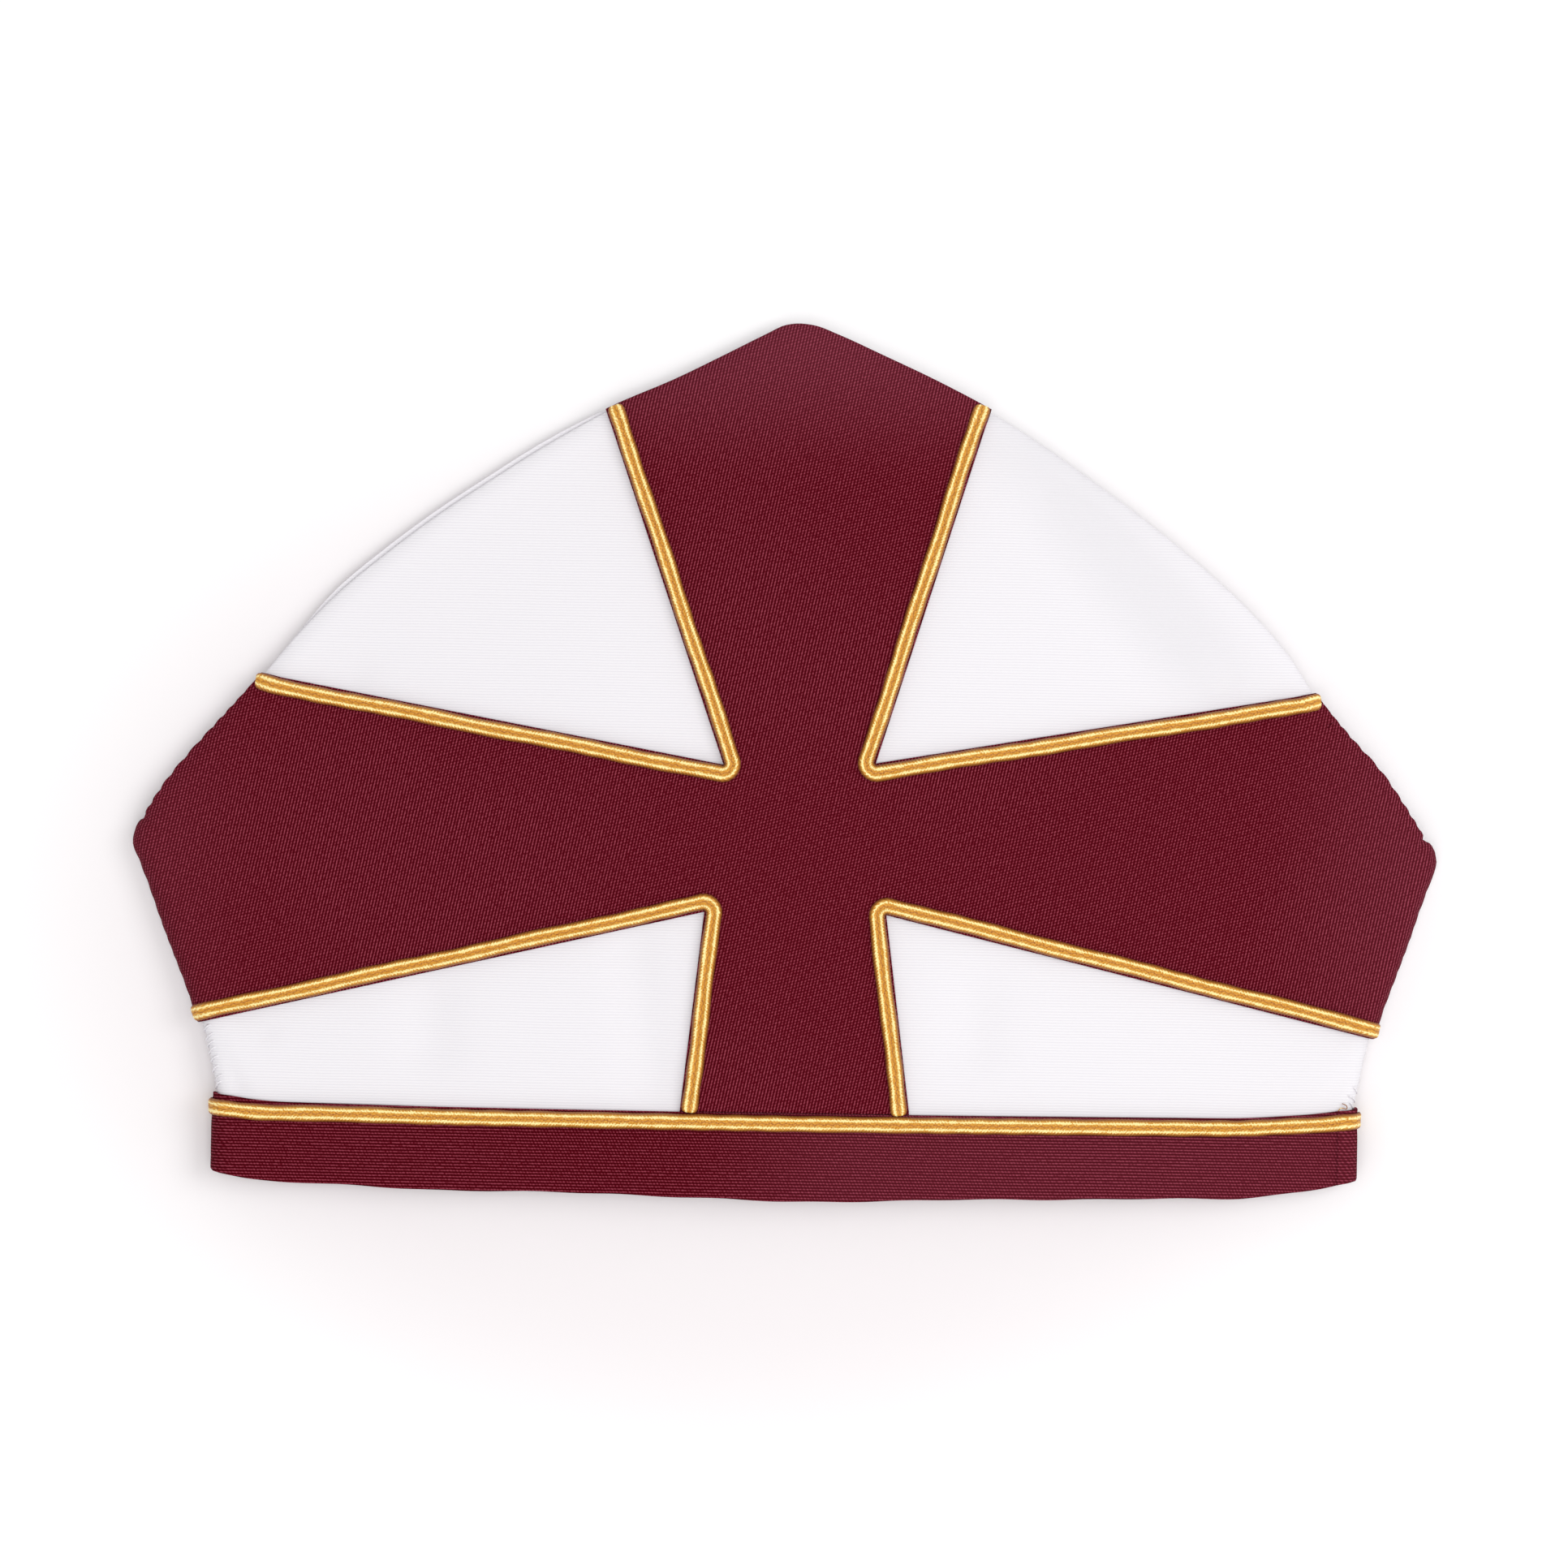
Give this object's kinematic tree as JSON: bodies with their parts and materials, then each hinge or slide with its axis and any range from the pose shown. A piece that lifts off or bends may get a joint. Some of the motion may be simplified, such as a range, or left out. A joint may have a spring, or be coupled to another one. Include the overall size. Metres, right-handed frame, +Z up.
{
  "type": "bishop mitre",
  "caption": "Fold-flat bishop's mitre of white ribbed cloth with a maroon cross pattée, maroon headband and gold plaited braid, lying folded on its back.",
  "frame": {"origin": "on the surface that the folded mitre lies on, under the middle of its bounding box", "axes": "+X to the right across the side tips with the cross facing up, +Y from the headband to the peak, +Z up through the cloth layers"},
  "size_m": [0.3352, 0.2258, 0.0166],
  "materials": {
    "white_cloth": "fine ribbed silk-like cloth, soft low sheen",
    "maroon_cloth": "dark red ribbed cloth with small pinkish lights on the ribs",
    "gold_braid": "satin gold plaited two-cord braid"
  },
  "bodies": {
    "root": {"front_panel": "white_cloth", "back_panel": "white_cloth", "crown_gusset": "white_cloth", "front_cross": "maroon_cloth", "headband": "maroon_cloth", "headband_braid": "gold_braid", "braid_upper_left": "gold_braid", "braid_upper_right": "gold_braid", "braid_lower_left": "gold_braid", "braid_lower_right": "gold_braid"}
  },
  "joints": []
}
